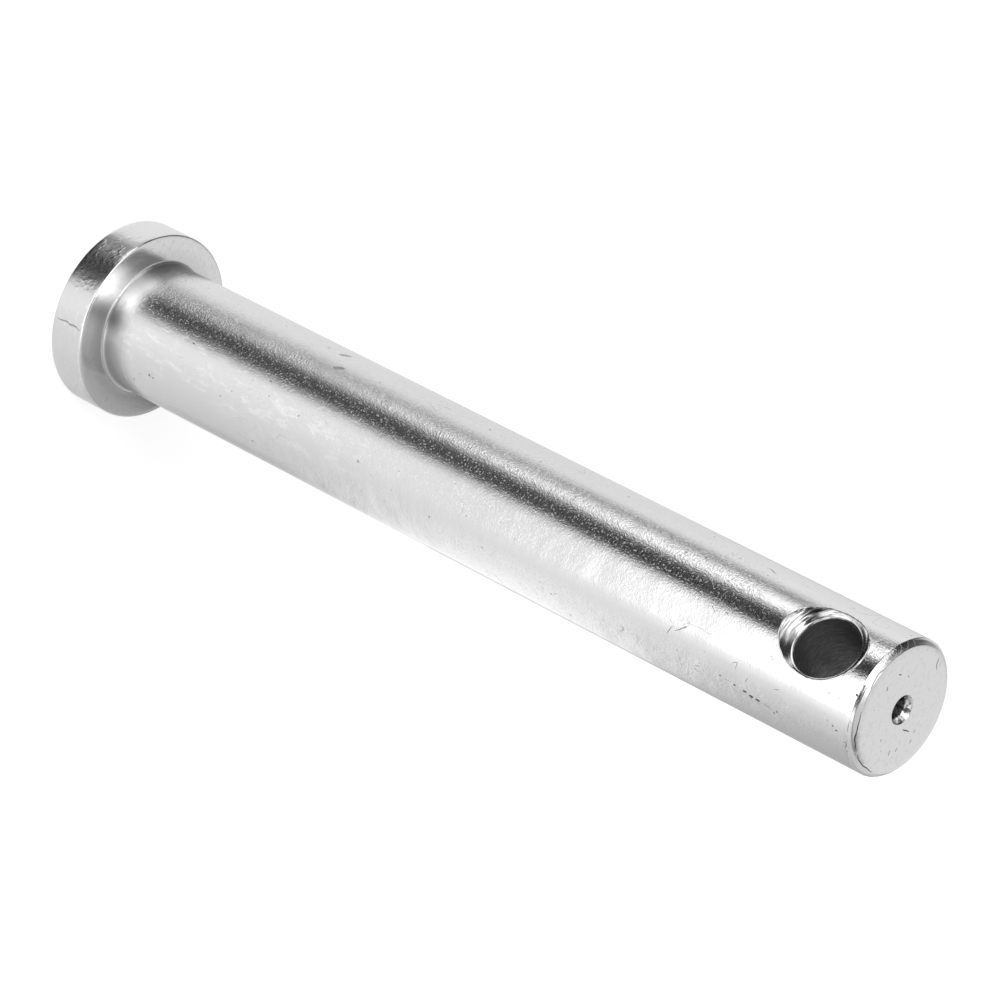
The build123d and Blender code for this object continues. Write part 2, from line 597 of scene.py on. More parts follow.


# %% [markdown]
# The first scratch crosses the head's rim, and the next ones lie on the shank. Then come those of the
# tail face, and at last the seams along its edge. Most of them are given a nearly black grey, and the
# rubbed ones are only dull.

# %% Scratches and seams
rim_scratch = [
    (0.2, 41.8), (1.8, 41.8), (2.8, 41.3), (3.6, 41.0), (4.3, 41.9), (5.3, 41.4), (6.2, 41.6), (6.8, 42.4),
    (7.7, 42.2),
]
scratches = [
    wall_scratch(rim_scratch, 0.20, wall=HEAD_RADIUS, finish=worn_finish),
    wall_scratch([(148.7, 52.5), (149.3, 46.5), (149.7, 43.4)], 0.07),
    wall_scratch([(150.2, 47.0), (151.2, 44.0), (152.5, 39.0)], 0.08),
    wall_scratch([(148.6, 39.8), (149.4, 41.8)], 0.06),
    wall_scratch([(156.1, 7.2), (156.3, 3.5), (156.6, -1.0)], 0.07, finish=worn_finish),
    wall_scratch([(160.4, 8.8), (160.7, 3.8)], 0.06, finish=worn_finish),
    wall_scratch([(155.3, 15.2), (156.9, 19.9)], 0.06),
    wall_scratch([(157.6, -39.0), (158.3, -40.6), (158.9, -39.8), (159.5, -38.6), (160.4, -37.4)], 0.09),
    wall_scratch([(162.0, 65.0), (163.4, 65.9)], 0.05),
    wall_scratch([(170.1, 70.0), (171.2, 70.3), (172.4, 70.8)], 0.05),
    wall_scratch([(163.4, 50.2), (163.5, 47.6), (164.4, 46.4), (164.2, 51.0), (164.4, 53.0)], 0.06),
    wall_scratch([(167.0, 54.0), (166.6, 58.6)], 0.06),
    wall_scratch([(172.6, 52.4), (173.2, 51.8), (173.8, 50.6)], 0.06),
    wall_scratch([(155.2, 67.4), (156.4, 66.0)], 0.07),
    wall_scratch([(188.0, 67.0), (188.7, 65.8), (188.7, 69.6), (188.1, 71.6)], 0.08),
    wall_scratch([(188.9, -17.0), (188.78, -11.0), (188.86, -4.0), (188.72, 3.0), (188.8, 8.0)], 0.09),
    tail_scratch([(7.7, -19.0), (7.2, -24.0)], 0.13),
    tail_scratch([(6.3, -40.0), (6.0, -41.0)], 0.13),
    tail_scratch([(7.6, 2.7), (7.3, 5.5), (7.1, 8.5)], 0.12),
    tail_scratch([(11.1, -84.0), (10.3, -86.6), (9.8, -88.4), (9.2, -95.0)], 0.11),
    tail_scratch([(11.1, -89.5), (9.9, -95.0)], 0.07, finish=worn_finish),
    tail_scratch([(4.0, 155.0), (4.9, 167.0), (5.9, 174.0)], 0.14),
    tail_scratch([(6.7, -176.0), (7.0, -181.0)], 0.10),
    tail_scratch([(6.0, 95.0), (6.5, 96.5)], 0.12),
    tail_scratch([(7.2, 129.3), (8.2, 129.3)], 0.11),
    tail_scratch([(7.2, 144.0), (7.8, 141.2)], 0.11),
    tail_scratch([(7.8, 172.0), (8.1, 167.8)], 0.10),
    tail_scratch([(7.6, 108.7), (7.6, 110.5)], 0.08),
    tail_scratch([(7.9, 34.7), (8.0, 36.5)], 0.08),
    seam(-27, 34, 0.10, worn_finish),
    seam(37, 74, 0.16),
    seam(77, 114, 0.12),
]
boolean(pin, join(scratches), "DIFFERENCE")
print("with its scratches:", len(pin.data.polygons), "faces")

# %% [markdown]
# Every cut can leave slivers where two edges nearly meet. They don't show, but they would trouble a
# slicer or a game engine, so edges far below any visible size are dissolved.

# %% Dissolve slivers
SLIVER = 0.0005 * MM

select_only(pin)
bpy.ops.object.mode_set(mode="EDIT")
bpy.ops.mesh.select_all(action="SELECT")
bpy.ops.mesh.dissolve_degenerate(threshold=SLIVER)
bpy.ops.object.mode_set(mode="OBJECT")
print("after the clean-up:", len(pin.data.polygons), "faces")

# %% [markdown]
# ## Smooth walls, crisp rims
#
# Facets as fine as these only need smooth shading to look round. Shading by angle keeps the rims of the
# head, the tail and the holes crisp, because they turn more sharply than the limit, while the rounded
# edges stay soft.

# %% Shade by angle
SMOOTH_LIMIT = radians(24)


def dent_edges_sharp():
    """Marks the outline of every dent and scratch sharp, whatever its angle."""
    numbers = {pin.data.materials.find(dent_finish.name), pin.data.materials.find(worn_finish.name)}
    inside = {}
    for face in pin.data.polygons:
        if face.material_index in numbers:
            for key in face.edge_keys:
                inside[key] = inside.get(key, 0) + 1
    for edge in pin.data.edges:
        if inside.get(edge.key) == 1:
            edge.use_edge_sharp = True


select_only(pin)
bpy.ops.object.shade_smooth_by_angle(angle=SMOOTH_LIMIT)
dent_edges_sharp()
print("sharp edges:", sum(edge.use_edge_sharp for edge in pin.data.edges))

# %% [markdown]
# ## Helpers for finishes
#
# Each finish is a small tree of nodes. Small helpers keep the trees short: one adds a node and fills
# its inputs, with a number or with a link, one turns any chain of numbers into a smooth mask, and the
# others place and mix patterns. All patterns read Object coordinates, which are metres on the real pin,
# so a scale of 1000 means features about a millimetre wide.

# %% Node helpers
def add(tree, kind, inputs=None, **settings):
    """Adds a node. Settings are its options, inputs its sockets, each with a value or the socket to link."""
    node = tree.nodes.new(kind)
    for name, value in settings.items():
        setattr(node, name, value)
    for name, value in (inputs or {}).items():
        if isinstance(value, bpy.types.NodeSocket):
            tree.links.new(value, node.inputs[name])
        else:
            node.inputs[name].default_value = value
    return node


def maths(tree, operation, first, second=0.0):
    """One Math node; returns its result."""
    return add(tree, "ShaderNodeMath", {0: first, 1: second}, operation=operation).outputs[0]


def vector_maths(tree, operation, first, second=(0, 0, 0)):
    """One Vector Math node; returns a number for a dot product, length or distance, otherwise a vector."""
    gives_number = operation in ("DOT_PRODUCT", "LENGTH", "DISTANCE")
    node = add(tree, "ShaderNodeVectorMath", {0: first, 1: second}, operation=operation)
    return node.outputs["Value" if gives_number else "Vector"]


def mask(tree, value, start, end):
    """A soft step: 0 below start, 1 above end. A start above the end turns it round."""
    low, high, first, last = (start, end, 0.0, 1.0) if start < end else (end, start, 1.0, 0.0)
    step = add(tree, "ShaderNodeMapRange", {0: value, 1: low, 2: high, 3: first, 4: last})
    step.interpolation_type = "SMOOTHSTEP"
    return step.outputs[0]


def place(tree, coordinates, scale=(1, 1, 1), rotation=(0, 0, 0), location=(0, 0, 0)):
    """A Mapping node; returns the moved and stretched coordinates."""
    mapping = add(tree, "ShaderNodeMapping", {"Vector": coordinates})
    mapping.inputs["Scale"].default_value = scale
    mapping.inputs["Rotation"].default_value = rotation
    mapping.inputs["Location"].default_value = location
    return mapping.outputs[0]


def noise(tree, coordinates, scale, detail=2.0, roughness=0.5, distortion=0.0):
    """A Noise texture's grey value."""
    sockets = {"Vector": coordinates, "Scale": scale, "Detail": detail}
    sockets.update({"Roughness": roughness, "Distortion": distortion})
    return add(tree, "ShaderNodeTexNoise", sockets).outputs[0]


def bump(tree, height, distance, normal=None):
    """A Bump node whose height of 1 stands for the given distance in metres."""
    node = add(tree, "ShaderNodeBump", {"Height": height, "Distance": distance, "Strength": 1.0})
    if normal is not None:
        tree.links.new(normal, node.inputs["Normal"])
    return node.outputs[0]


def start_metal(material, grey, roughness):
    """Switches a material to nodes and sets what is the same all over. Returns tree, coordinates, shader."""
    material.use_nodes = True
    tree = material.node_tree
    shader = tree.nodes["Principled BSDF"]
    shader.inputs["Metallic"].default_value = 1.0
    shader.inputs["Base Color"].default_value = (grey, grey, grey, 1)
    shader.inputs["Roughness"].default_value = roughness
    coordinates = add(tree, "ShaderNodeTexCoord").outputs["Object"]
    return tree, coordinates, shader


# %% [markdown]
# ## Bright zinc on the shank
#
# Zinc plating over drawn bar is bright but never a mirror. Under the shine lie the grain of the bar,
# waves left by rolling, small pits and the marks of other pins in the barrel. Each is one layer of
# height here, from the widest waves to the finest grain, and together they roughen the edge of every
# reflection. The grain stands out most on one side of the bar. On the side next to it, near the head,
# other pins have rubbed the zinc to a lighter grey.

# %% Shank finish
ZINC_GREY = 0.87
RUBBED_GREY = 0.97
NECK_SHADE_GREY = 0.76                     # painted shade under the head, towards the neck
CORNER_SHADE_GREY = 0.62                   # deeper painted shade in the very corner of the neck
ZINC_ROUGHNESS = 0.155
HEAD_END_ROUGHNESS = 0.205
NECK_ROUGHNESS = 0.29
WAVE_HEIGHT = 0.05 * MM
PEEL_HEIGHT = 0.007 * MM
GRAIN_HEIGHT = 0.025 * MM
SPECK_HEIGHT = 0.018 * MM
PIT_DEPTH = 0.03 * MM
SCRATCH_DEPTH = 0.012 * MM
RUB_DEPTH = 0.010 * MM
PIT_SHADE = 0.35                     # how much darker the bottom of a pit is
SCRATCH_SHADE = 0.22

# Each fade is a pair of heights: a change starts at the first and is full at the second.
NECK_FADE = (24 * MM, 9 * MM)
CORNER_SHADE_FADE = (12.8 * MM, 9.2 * MM)
FILLET_FADE = (8.3 * MM, 8.7 * MM)
HEAD_END_FADE = (120 * MM, 20 * MM)
SPECK_FADE = (168 * MM, 150 * MM)
RUBBED_FADE = (85 * MM, 60 * MM)

PEBBLED_SIDE = -18                   # in degrees from the cross-hole's mouth towards +X
RUBBED_SIDE = 30


def height_above_floor(tree, coordinates):
    return add(tree, "ShaderNodeSeparateXYZ", {0: coordinates}).outputs["Z"]


def between(tree, share, first, second):
    """A number that goes from first to second as share goes from 0 to 1."""
    return add(tree, "ShaderNodeMapRange", {0: share, 3: first, 4: second}).outputs[0]


def on_side(tree, coordinates, degrees, start, end):
    """A soft mask for one side of the shank. Start and end are shares of its radius towards that side."""
    side = (sin(radians(degrees)), -cos(radians(degrees)), 0)
    towards = vector_maths(tree, "DOT_PRODUCT", coordinates, side)
    return mask(tree, towards, start * SHANK_RADIUS, end * SHANK_RADIUS)


def hairlines(tree, coordinates, scale, width, shown_above):
    """Fine curved lines where a noise crosses its middle, kept only where a wider noise is high."""
    wander = noise(tree, coordinates, scale, detail=1.5, distortion=0.6)
    offset = maths(tree, "ABSOLUTE", maths(tree, "SUBTRACT", wander, 0.5))
    line = mask(tree, offset, width, width * 0.3)
    kept = mask(tree, noise(tree, coordinates, scale * 0.45, detail=1), shown_above, shown_above + 0.05)
    return maths(tree, "MULTIPLY", line, kept)


tree, coordinates, shader = start_metal(shank_finish, ZINC_GREY, ZINC_ROUGHNESS)
height = height_above_floor(tree, coordinates)
near_neck = mask(tree, height, *NECK_FADE)
off_fillet = between(tree, mask(tree, height, *FILLET_FADE), 0.75, 1.0)
# Painted shade: the grey darkens in the corner of the neck, a quarter less on the fillet itself.
corner_shade = maths(tree, "MULTIPLY", mask(tree, height, *CORNER_SHADE_FADE), off_fillet)
towards_head = mask(tree, height, *HEAD_END_FADE)
off_tail = between(tree, mask(tree, height, *SPECK_FADE), 0.4, 1.0)

pebbled = on_side(tree, coordinates, PEBBLED_SIDE, 0.76, 0.94)
fine = maths(tree, "MULTIPLY", between(tree, towards_head, 1.0, 0.95), between(tree, pebbled, 0.22, 1.25))
waves = noise(tree, coordinates, 150)
peel = noise(tree, coordinates, 1500, detail=1)
grain = maths(tree, "MULTIPLY", noise(tree, coordinates, 3200), fine)
specks = mask(tree, noise(tree, coordinates, 2500, detail=1), 0.60, 0.72)
specks = maths(tree, "MULTIPLY", specks, maths(tree, "MULTIPLY", fine, off_tail))
pits = mask(tree, noise(tree, coordinates, 800), 0.28, 0.24)
crossing = place(tree, coordinates, rotation=(0.4, 1.1, 0.3), scale=(1, 3, 1))
scratches = maths(
    tree, "MAXIMUM",
    hairlines(tree, coordinates, 260, 0.006, 0.63),
    hairlines(tree, crossing, 120, 0.005, 0.60),
)

along_bar = place(tree, coordinates, scale=(1, 1, 0.35))
patches = mask(tree, noise(tree, along_bar, 520, detail=5, roughness=0.7), 0.50, 0.66)
rubbed = maths(tree, "MULTIPLY", on_side(tree, coordinates, RUBBED_SIDE, 0.80, 0.97), patches)
rubbed = maths(tree, "MULTIPLY", rubbed, mask(tree, height, *RUBBED_FADE))
rub_lines = noise(tree, place(tree, coordinates, scale=(1, 1, 0.25), rotation=(0.3, 0.2, 0)), 5200)

normal = bump(tree, waves, WAVE_HEIGHT)
normal = bump(tree, peel, PEEL_HEIGHT, normal)
normal = bump(tree, grain, GRAIN_HEIGHT, normal)
normal = bump(tree, specks, SPECK_HEIGHT, normal)
normal = bump(tree, maths(tree, "MULTIPLY", rub_lines, rubbed), RUB_DEPTH, normal)
normal = bump(tree, pits, -PIT_DEPTH, normal)
normal = bump(tree, scratches, -SCRATCH_DEPTH, normal)
tree.links.new(normal, shader.inputs["Normal"])

neck_dullness = maths(tree, "MULTIPLY", near_neck, NECK_ROUGHNESS - HEAD_END_ROUGHNESS)
dulled = maths(tree, "ADD", between(tree, towards_head, ZINC_ROUGHNESS, HEAD_END_ROUGHNESS), neck_dullness)
tree.links.new(dulled, shader.inputs["Roughness"])

pit_marks = maths(tree, "MULTIPLY", pits, PIT_SHADE)
marks = maths(tree, "MAXIMUM", pit_marks, maths(tree, "MULTIPLY", scratches, SCRATCH_SHADE))
# The grey is lighter where rubbed, and it carries painted shade in the neck's corner.
grey_with_corner_shade = between(tree, corner_shade, between(tree, rubbed, ZINC_GREY, RUBBED_GREY), CORNER_SHADE_GREY)
marked_grey = maths(tree, "MULTIPLY", grey_with_corner_shade, maths(tree, "SUBTRACT", 1.0, marks))
tree.links.new(marked_grey, shader.inputs["Base Color"])
print("shank finish:", len(tree.nodes), "nodes")

# %% [markdown]
# ## The rim of the head
#
# The rim of the head lies outermost and takes the knocks in the barrel. Its zinc has low dimples with
# flat blisters between them, which break a reflection into blots. Both are far too low to show in the
# outline, so they are bumps in the finish and not shapes.

# %% Head rim finish
RIM_ROUGHNESS = 0.19
DIMPLE_HEIGHT = 0.013 * MM
BLISTER_HEIGHT = 0.016 * MM

tree, coordinates, shader = start_metal(rim_finish, ZINC_GREY, RIM_ROUGHNESS)
dimples = noise(tree, coordinates, 1000, detail=1, roughness=0.4)
blisters = mask(tree, noise(tree, coordinates, 900), 0.50, 0.72)
normal = bump(tree, dimples, DIMPLE_HEIGHT)
normal = bump(tree, blisters, BLISTER_HEIGHT, normal)
tree.links.new(normal, shader.inputs["Normal"])
print("rim finish:", len(tree.nodes), "nodes")

# %% [markdown]
# ## The faced ends
#
# The tail face and both faces of the head are cut flat by a facing tool, so each mirrors one plain part
# of the tent. Faint blots and scuffs keep them from looking like paper. Under the head the finish
# grows rougher towards the neck, and painted shade darkens its grey there.

# %% Faced finish
FACE_ROUGHNESS = 0.18
UNDER_HEAD_ROUGHNESS = 0.21
FACE_GRAIN = 0.012 * MM
BLOTCH_SHADE = 0.09
SCUFF_SHADE = 0.12
HEAD_HALF = (100 * MM, 50 * MM)      # heights that tell the head's faces from the tail's
DULL_AND_SHADED_RINGS = (16.5 * MM, 13 * MM)    # from the plain outer ring to the rough ring at the neck, which takes painted shade

tree, coordinates, shader = start_metal(faced_finish, ZINC_GREY, FACE_ROUGHNESS)
radius = vector_maths(tree, "LENGTH", vector_maths(tree, "MULTIPLY", coordinates, (1, 1, 0)))
at_head = mask(tree, height_above_floor(tree, coordinates), *HEAD_HALF)
# This mask makes the underside rougher towards the neck and also carries painted shade there.
under_head = maths(tree, "MULTIPLY", at_head, mask(tree, radius, *DULL_AND_SHADED_RINGS))
tree.links.new(between(tree, under_head, FACE_ROUGHNESS, UNDER_HEAD_ROUGHNESS), shader.inputs["Roughness"])
normal = bump(tree, noise(tree, coordinates, 2200, detail=3), FACE_GRAIN)
tree.links.new(normal, shader.inputs["Normal"])
blotches = mask(tree, noise(tree, coordinates, 1000, detail=4, roughness=0.7), 0.50, 0.68)
blotches = maths(tree, "MULTIPLY", blotches, BLOTCH_SHADE)
scuffs = maths(tree, "MULTIPLY", hairlines(tree, coordinates, 330, 0.008, 0.58), SCUFF_SHADE)
dimmed = maths(tree, "SUBTRACT", 1.0, maths(tree, "ADD", blotches, scuffs))
# Painted shade: the underside's grey darkens towards the neck.
neck_shaded_grey = between(tree, under_head, ZINC_GREY, NECK_SHADE_GREY)
tree.links.new(maths(tree, "MULTIPLY", neck_shaded_grey, dimmed), shader.inputs["Base Color"])
print("faced finish:", len(tree.nodes), "nodes")

# %% [markdown]
# ## The countersink's cone
#
# The chattering tool leaves fine grooves that run round the cone, deepest on one side, and there the
# grooves are given a dark grey. A noise that depends on the distance from the hole's axis gives rings.
# A little of the direction round the hole is added to that, so that each ring swells and fades on its
# way round.

# %% Countersink finish
COUNTERSINK_ROUGHNESS = 0.17
TOOL_MARK_HEIGHT = 0.022 * MM
CONE_GRAIN = 0.008 * MM
GROOVE_GREY = 0.12
RING_FADE = 0.5 * MM                 # how fast a ring changes on its way round
DEEPEST_BITE = (sin(radians(211)), 0, cos(radians(211)))   # the side of the hole on which the tool chattered

tree, coordinates, shader = start_metal(countersink_finish, ZINC_GREY, COUNTERSINK_ROUGHNESS)
from_axis = place(tree, coordinates, location=(0, 0, -HOLE_HEIGHT))
across = vector_maths(tree, "MULTIPLY", from_axis, (1, 0, 1))
part_of_turn = vector_maths(tree, "NORMALIZE", across)
turn_shift = vector_maths(tree, "MULTIPLY", part_of_turn, (RING_FADE, RING_FADE, RING_FADE))
reach = add(tree, "ShaderNodeCombineXYZ", {"Y": vector_maths(tree, "LENGTH", across)}).outputs[0]
ring_place = vector_maths(tree, "ADD", turn_shift, reach)
tool_marks = noise(tree, ring_place, 4600)
grooves = mask(tree, noise(tree, ring_place, 4400), 0.44, 0.54)
bite = vector_maths(tree, "DOT_PRODUCT", part_of_turn, DEEPEST_BITE)
bitten = mask(tree, bite, 0.92, 0.975)
lightly_bitten = maths(tree, "MULTIPLY", mask(tree, bite, 0.60, 0.85), 0.7)
dark_marks = maths(tree, "MULTIPLY", grooves, maths(tree, "MAXIMUM", bitten, lightly_bitten))
marked = maths(tree, "MULTIPLY", tool_marks, between(tree, bitten, 0.4, 1.0))
normal = bump(tree, marked, TOOL_MARK_HEIGHT)
normal = bump(tree, noise(tree, coordinates, 2600), CONE_GRAIN, normal)
tree.links.new(normal, shader.inputs["Normal"])
tree.links.new(between(tree, dark_marks, ZINC_GREY, GROOVE_GREY), shader.inputs["Base Color"])
print("countersink finish:", len(tree.nodes), "nodes")

# %% [markdown]
# ## Dents, bore and centre hole
#
# A dent that goes far in is given a nearly black grey, and a shallow one only a dull grey. The bore's
# dark grey is painted shade, darkest past its middle, with rings from the drill and a little dust on it.
# The cone of the centre drilling is bright but stained, and painted shade darkens it from about a
# millimetre below the tail face, so that its pilot hole is lost in the dark.

# %% Finishes of dents and holes
# Dents and most scratches are given a nearly black grey, rubbed ones a dull grey.
start_metal(dent_finish, 0.14, 0.35)
start_metal(worn_finish, 0.45, 0.3)

# The bore's dark greys are painted shade, darkest past its middle; the drill's rings and dust are its own.
BORE_ROUGHNESS = 0.55
BORE_MOUTH_SHADE_GREY = 0.19
BORE_DEEP_SHADE_GREY = 0.13
BORE_SHADE_FADE = (-11 * MM, 2 * MM)     # places along Y, from the near mouth to past the middle
DRILL_RING_GREY = 0.08
DRILL_RING_HEIGHT = 0.03 * MM
DUST_GREY = 0.07
CENTRE_GREY = 0.85
CENTRE_ROUGHNESS = 0.22
CENTRE_GRAIN = 0.07 * MM
CENTRE_SHADE_FADE = (PIN_HEIGHT - 0.95 * MM, PIN_HEIGHT - 1.25 * MM)

tree, coordinates, shader = start_metal(bore_finish, BORE_DEEP_SHADE_GREY, BORE_ROUGHNESS)
rings = noise(tree, place(tree, coordinates, scale=(0.15, 1, 0.15)), 3200)
ring_grey = maths(tree, "MULTIPLY", mask(tree, rings, 0.45, 0.65), DRILL_RING_GREY)
dust = maths(tree, "MULTIPLY", mask(tree, noise(tree, coordinates, 4200), 0.45, 0.65), DUST_GREY)
along_bore = add(tree, "ShaderNodeSeparateXYZ", {0: coordinates}).outputs["Y"]
# Painted shade: the bore's grey darkens from the near mouth to past its middle.
bore_shade_grey = between(tree, mask(tree, along_bore, *BORE_SHADE_FADE), BORE_MOUTH_SHADE_GREY, BORE_DEEP_SHADE_GREY)
bore_grey = maths(tree, "ADD", bore_shade_grey, maths(tree, "ADD", ring_grey, dust))
tree.links.new(bore_grey, shader.inputs["Base Color"])
tree.links.new(bump(tree, rings, DRILL_RING_HEIGHT), shader.inputs["Normal"])

tree, coordinates, shader = start_metal(centre_finish, CENTRE_GREY, CENTRE_ROUGHNESS)
# Painted shade: the centre hole's grey darkens from about a millimetre below the tail face.
centre_hole_shade = mask(tree, height_above_floor(tree, coordinates), *CENTRE_SHADE_FADE)
stains = mask(tree, noise(tree, coordinates, 1900, detail=3), 0.50, 0.60)
stained = maths(tree, "SUBTRACT", CENTRE_GREY, maths(tree, "MULTIPLY", stains, 0.55))
shown = maths(tree, "SUBTRACT", 1.0, maths(tree, "MULTIPLY", centre_hole_shade, 0.94))
tree.links.new(maths(tree, "MULTIPLY", stained, shown), shader.inputs["Base Color"])
tree.links.new(bump(tree, noise(tree, coordinates, 1500, detail=3), CENTRE_GRAIN), shader.inputs["Normal"])
print("finishes:", [finish.name for finish in pin.data.materials])

# %% [markdown]
# ## The light tent
#
# Polished metal shows its surroundings more than itself, so the surroundings are modelled with care.
# The pin stands in a light tent: pale cloth all round, with dark gaps between its panels. A world that
# depends only on direction is the simplest tent. Azimuth runs round the pin from the camera's side, and
# elevation from the floor to the zenith. Each band of elevation has a ramp of greys round the pin, and
# neighbouring bands blend into each other.

# %% Directions and ramps
TENT_STRENGTH = 1.25

world = bpy.data.worlds.new("light_tent")
bpy.context.scene.world = world
world.use_nodes = True
tent = world.node_tree
tent.nodes.clear()
direction = add(tent, "ShaderNodeTexCoord").outputs["Generated"]
turned = place(tent, direction, rotation=(0, 0, radians(90) - CAMERA_AZIMUTH))
parts = add(tent, "ShaderNodeSeparateXYZ", {0: turned})
azimuth = maths(tent, "ARCTAN2", parts.outputs[1], parts.outputs[0])
round_share = maths(tent, "ADD", maths(tent, "DIVIDE", azimuth, 2 * pi), 0.5)
elevation = maths(tent, "MULTIPLY", maths(tent, "ARCSINE", parts.outputs[2]), 180 / pi)


def band(stops):
    """A ring of cloth: greys at azimuths in degrees, 0 on the camera's side, anticlockwise from above."""
    ramp = add(tent, "ShaderNodeValToRGB", {"Fac": round_share})
    ramp.color_ramp.interpolation = "EASE"
    while len(ramp.color_ramp.elements) > 1:
        ramp.color_ramp.elements.remove(ramp.color_ramp.elements[0])
    stop = ramp.color_ramp.elements[0]
    stop.position = (stops[0][0] + 180) / 360
    for angle, _ in stops[1:]:
        ramp.color_ramp.elements.new((angle + 180) / 360)
    for stop, (_, grey) in zip(ramp.color_ramp.elements, stops):
        stop.color = (grey, grey, grey, 1)
    return ramp.outputs[0]


def blend_bands(lower, upper, from_elevation, to_elevation):
    """Goes from the lower band to the upper one between two elevations in degrees."""
    share = mask(tent, elevation, from_elevation, to_elevation)
    mixed = add(tent, "ShaderNodeMix", data_type="RGBA")
    tent.links.new(share, mixed.inputs[0])
    tent.links.new(lower, mixed.inputs[6])
    tent.links.new(upper, mixed.inputs[7])
    return mixed.outputs[2]


# %% [markdown]
# Seen from above, upright walls mirror the cloth below the horizon: the head's rim the lowest band, the
# shank the next ones on its way up, and its tail end the shallow one. The faced ends and the lead-in
# mirror the skies.

# %% Bands of cloth
lowest = band([
    (-180, 0.68), (-160, 0.68), (-110, 0.72), (-94, 0.74), (-86, 0.55), (-79, 0.12), (-72, 0.03),
    (-62, 0.02), (-24, 0.02), (-14, 0.08), (-7, 0.45), (2, 0.72), (24, 0.74), (36, 0.66), (60, 0.62),
    (110, 0.60), (125, 0.60), (145, 0.54), (165, 0.54), (180, 0.68),
])
steep = band([
    (-180, 0.70), (-160, 0.64), (-110, 0.64), (-92, 0.58), (-75, 0.44), (-62, 0.44), (-52, 0.30),
    (-42, 0.17), (-26, 0.18), (-14, 0.38), (-7, 0.56), (0, 0.74), (10, 0.74), (20, 0.68), (34, 0.60),
    (60, 0.51), (95, 0.31), (145, 0.26), (165, 0.48), (180, 0.70),
])
middle = band([
    (-180, 0.55), (-165, 0.62), (-110, 0.61), (-96, 0.58), (-88, 0.40), (-81, 0.12), (-73, 0.13),
    (-66, 0.60), (-60, 0.85), (-54, 0.55), (-44, 0.10), (-34, 0.06), (-20, 0.05), (-14, 0.16),
    (-7, 0.32), (0, 0.40), (8, 0.43), (16, 0.45), (30, 0.53), (60, 0.74), (90, 0.92), (120, 0.97),
    (150, 0.93), (163, 0.80), (180, 0.55),
])
shallow = band([
    (-180, 0.62), (-168, 0.50), (-150, 0.62), (-125, 0.67), (-102, 0.74), (-94, 0.55), (-88, 0.12),
    (-81, 0.12), (-74, 0.95), (-59, 1.45), (-53, 0.70), (-46, 0.02), (-26, 0.01), (-21, 0.03),
    (-15, 0.70), (-8, 1.15), (0, 1.30), (38, 1.30), (50, 0.84), (62, 0.62), (80, 0.48), (105, 0.38),
    (150, 0.36), (172, 0.40), (180, 0.62),
])
low_sky = band([
    (-180, 0.66), (-168, 0.40), (-145, 0.26), (-130, 0.08), (-92, 0.02), (-78, 0.03), (-71, 0.80),
    (-20, 0.95), (-8, 0.30), (2, 0.05), (22, 0.04), (32, 0.70), (44, 1.10), (58, 0.60), (90, 0.48),
    (120, 0.48), (140, 0.52), (180, 0.66),
])
high_sky = band([
    (-180, 0.54), (-174, 0.66), (-166, 0.22), (-150, 0.10), (-128, 0.05), (-98, 0.04), (-91, 0.06),
    (-84, 0.10), (-77, 0.20), (-69, 0.50), (-60, 0.92), (-48, 1.00), (-40, 1.50), (-32, 2.30),
    (-24, 3.10), (-16, 2.90), (-7, 2.00), (0, 1.00), (8, 0.44), (16, 0.10), (28, 0.06), (40, 0.22),
    (60, 0.26), (90, 0.23), (120, 0.18), (150, 0.09), (170, 0.22), (180, 0.54),
])
upper_sky = band([
    (-180, 0.62), (-160, 0.50), (-135, 0.42), (-100, 0.36), (-92, 0.10), (-85, 0.12), (-79, 0.50),
    (-68, 0.55), (-60, 1.20), (-48, 1.50), (-16, 1.50), (-7, 0.30), (2, 0.04), (18, 0.08), (32, 0.40),
    (46, 0.50), (90, 0.48), (150, 0.45), (180, 0.62),
])
zenith = band([
    (-180, 0.62), (-135, 0.80), (-105, 0.80), (-90, 0.60), (-65, 0.80), (-50, 1.20), (-15, 1.40),
    (20, 0.70), (50, 0.50), (120, 0.50), (180, 0.62),
])
tent_colour = blend_bands(lowest, steep, -40.8, -40.0)
tent_colour = blend_bands(tent_colour, middle, -38.4, -37.1)
tent_colour = blend_bands(tent_colour, shallow, -34.7, -33.7)
tent_colour = blend_bands(tent_colour, low_sky, -9, 7)
tent_colour = blend_bands(tent_colour, high_sky, 31, 37)
tent_colour = blend_bands(tent_colour, upper_sky, 43, 47)
tent_colour = blend_bands(tent_colour, zenith, 52, 62)

cloth = add(tent, "ShaderNodeBackground", {"Color": tent_colour, "Strength": TENT_STRENGTH})
white = add(tent, "ShaderNodeBackground", {"Color": (1, 1, 1, 1), "Strength": 1.0})
is_camera = add(tent, "ShaderNodeLightPath").outputs["Is Camera Ray"]
seen = add(tent, "ShaderNodeMixShader", {0: is_camera, 1: cloth.outputs[0], 2: white.outputs[0]})
add(tent, "ShaderNodeOutputWorld", {"Surface": seen.outputs[0]})
print("tent strength", TENT_STRENGTH)

# %% [markdown]
# ## A flag beside the pin
#
# Photographers stand small grey cards, called flags, beside bright metal, so that flat faces don't all
# go white. One flag stands behind the pin, a little to one side, and only reflections see it. It keeps
# that half of the head's underside in shade. Its grey is graded, so that the shade is deepest near the
# neck: the underside is a flat mirror, and its rings show rings of the card.

# %% Flag
FLAG_BEHIND = 70 * MM
FLAG_INNER_EDGE = 7 * MM
FLAG_WIDTH = 25 * MM
FLAG_BOTTOM = 34 * MM
FLAG_TOP = 112 * MM
FLAG_MIDDLE = 60 * MM                # the height at which the card is darkest
FLAG_GREYS = [(13.5, 0.0), (19.0, 0.42)]    # at each distance in mm from the middle
FLAG_SQUASH = 0.6                    # heights count less than widths in that distance


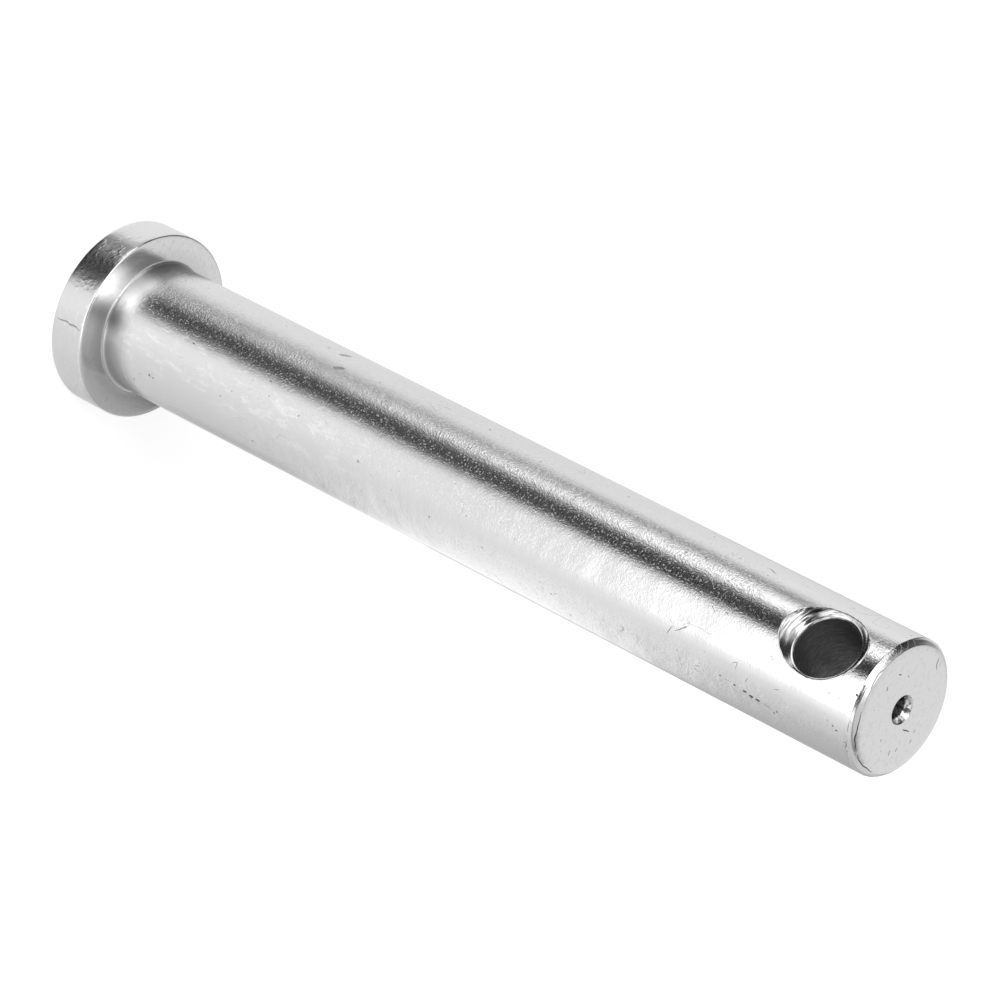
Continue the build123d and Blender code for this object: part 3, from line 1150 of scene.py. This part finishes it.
def graded_card(centre):
    """A card that gives only its own light, in greys that grow with the distance from a centre."""
    card = bpy.data.materials.new("grey_flag")
    card.use_nodes = True
    tree = card.node_tree
    tree.nodes.clear()
    coordinates = add(tree, "ShaderNodeTexCoord").outputs["Object"]
    squashed = place(tree, coordinates, scale=(1, 1, FLAG_SQUASH))
    middle_point = (centre.x, centre.y, centre.z * FLAG_SQUASH)
    away = vector_maths(tree, "DISTANCE", squashed, middle_point)
    (near, near_grey), (far, far_grey) = FLAG_GREYS
    grey = add(tree, "ShaderNodeMapRange", {0: away, 1: near * MM, 2: far * MM, 3: near_grey, 4: far_grey})
    light = add(tree, "ShaderNodeEmission", {"Color": grey.outputs[0], "Strength": 1.0})
    add(tree, "ShaderNodeOutputMaterial", {"Surface": light.outputs[0]})
    return card


towards_camera = Vector((sin(CAMERA_AZIMUTH), -cos(CAMERA_AZIMUTH), 0))
sideways = Vector((cos(CAMERA_AZIMUTH), sin(CAMERA_AZIMUTH), 0))
flag_centre = -towards_camera * FLAG_BEHIND + Vector((0, 0, FLAG_MIDDLE))
deselect_all()
bpy.ops.mesh.primitive_plane_add(size=1)
flag = bpy.context.active_object
flag.name = "flag"
flag.scale = (FLAG_WIDTH, FLAG_TOP - FLAG_BOTTOM, 1)
flag.rotation_euler = (radians(90), 0, CAMERA_AZIMUTH)
flag.location = (
    -towards_camera * FLAG_BEHIND
    + sideways * (FLAG_INNER_EDGE + FLAG_WIDTH / 2)
    + Vector((0, 0, (FLAG_BOTTOM + FLAG_TOP) / 2))
)
bpy.ops.object.transform_apply(location=True, rotation=True, scale=True)
flag.data.materials.append(graded_card(flag_centre))
flag.visible_camera = False
flag.visible_diffuse = False
flag.visible_shadow = False
flag.visible_transmission = False
print("flag's centre at", [round(value / MM) for value in flag_centre])

# %% [markdown]
# ## The floor
#
# The floor is plain pale paper. Its own grey takes the shadow of the head, and a little light of its
# own, which only the camera sees, lifts the rest to white. Glossy rays pass through it, so that the
# metal shows the tent.

# %% Floor
FLOOR_SIZE = 6.0
FLOOR_GREY = 0.8
FLOOR_GLOW = 0.53

deselect_all()
bpy.ops.mesh.primitive_plane_add(size=FLOOR_SIZE, location=(0, 0, 0))
floor = bpy.context.active_object
floor.name = "floor"
paper = bpy.data.materials.new("pale_floor")
paper.use_nodes = True
tree = paper.node_tree
tree.nodes.clear()
matt = add(tree, "ShaderNodeBsdfDiffuse", {"Color": (FLOOR_GREY, FLOOR_GREY, FLOOR_GREY, 1)})
camera_ray = add(tree, "ShaderNodeLightPath").outputs["Is Camera Ray"]
glow = add(tree, "ShaderNodeEmission", {"Strength": maths(tree, "MULTIPLY", camera_ray, FLOOR_GLOW)})
both = add(tree, "ShaderNodeAddShader", {0: matt.outputs[0], 1: glow.outputs[0]})
add(tree, "ShaderNodeOutputMaterial", {"Surface": both.outputs[0]})
floor.data.materials.append(paper)
floor.visible_glossy = False
print("floor", FLOOR_SIZE, "m square")

# %% [markdown]
# ## Hand over
#
# The turned pin stands for the engineering solid and rides on its only body. Colours are shown as they
# are, so the view transform is Standard.

# %% Finish
bpy.context.scene.view_settings.view_transform = "Standard"
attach(pin, "root")
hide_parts("clevis_pin")
